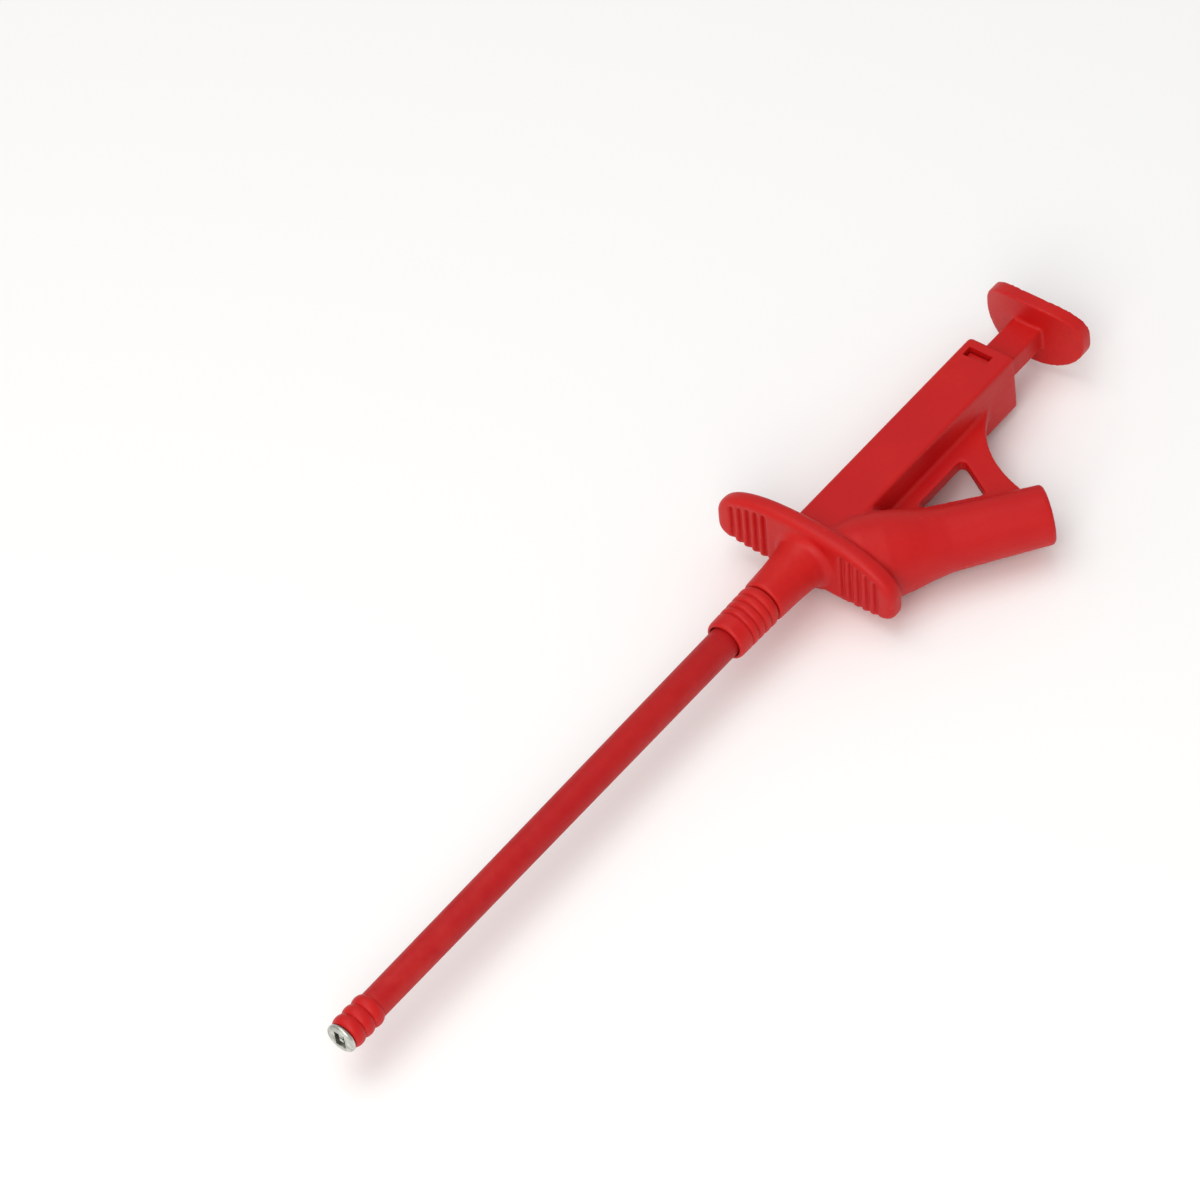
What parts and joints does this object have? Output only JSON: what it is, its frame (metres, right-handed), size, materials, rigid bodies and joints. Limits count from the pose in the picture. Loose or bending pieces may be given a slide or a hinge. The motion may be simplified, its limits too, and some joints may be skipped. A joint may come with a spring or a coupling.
{
  "type": "plunger test clip",
  "caption": "Spring-loaded plunger test clip: slim insulated shaft with hooked tip jaws, oval finger guard, flat barrel, thumb head and an angled lead socket.",
  "frame": {"origin": "centre of the bounding box at its lowest point", "axes": "+X along the shaft from the jaw tip to the thumb head, +Z towards the barrel's latch-window face, the lead socket on the -Y side"},
  "size_m": [0.1594, 0.0416, 0.0139],
  "materials": {
    "housing_plastic": "fine moulded satin",
    "plunger_plastic": "fine moulded satin",
    "sleeve_plastic": "extruded, dull",
    "inner_plastic": "moulded",
    "liner_plastic": "smooth",
    "nickel": "nickel plate",
    "steel": "drawn wire",
    "brass": "turned"
  },
  "bodies": {
    "handle": {"housing": "housing_plastic", "retainer": "inner_plastic", "return_spring": "steel", "spring_seat": "steel", "conduit": "steel", "liner_tube": "liner_plastic", "anchor_bush": "brass", "shaft_sleeve": "sleeve_plastic", "collar": "housing_plastic", "tip_sleeve": "housing_plastic", "tip_ferrule": "nickel", "socket_insert": "inner_plastic", "socket_contact": "nickel", "link_rod": "brass"},
    "plunger_set": {"plunger": "plunger_plastic", "pull_cable": "steel", "cable_crimp": "brass", "jaw_carrier": "brass", "jaw_pin": "steel"},
    "upper_jaw": {"jaw_upper": "nickel"},
    "lower_jaw": {"jaw_lower": "nickel"}
  },
  "joints": [
    {"name": "plunger_slide", "type": "slide", "parent": "handle", "child": "plunger_set", "axis": [-1, 0, 0], "range_m": [0, 0.008], "stiffness_N_per_m": 300, "springref_m": -0.004, "deforming": ["return_spring"]},
    {"name": "upper_jaw_pivot", "type": "hinge", "parent": "plunger_set", "child": "upper_jaw", "pos_m": [-0.06574, 0.00551, 0.0078], "axis": [0, 1, 0], "range_deg": [0, 5]},
    {"name": "lower_jaw_pivot", "type": "hinge", "parent": "plunger_set", "child": "lower_jaw", "pos_m": [-0.06574, 0.00551, 0.0078], "axis": [0, -1, 0], "range_deg": [0, 5]}
  ],
  "couplings": [
    {"joint": "upper_jaw_pivot", "follows": "plunger_slide", "rad_per_m": 10.9},
    {"joint": "lower_jaw_pivot", "follows": "plunger_slide", "rad_per_m": 10.9}
  ]
}
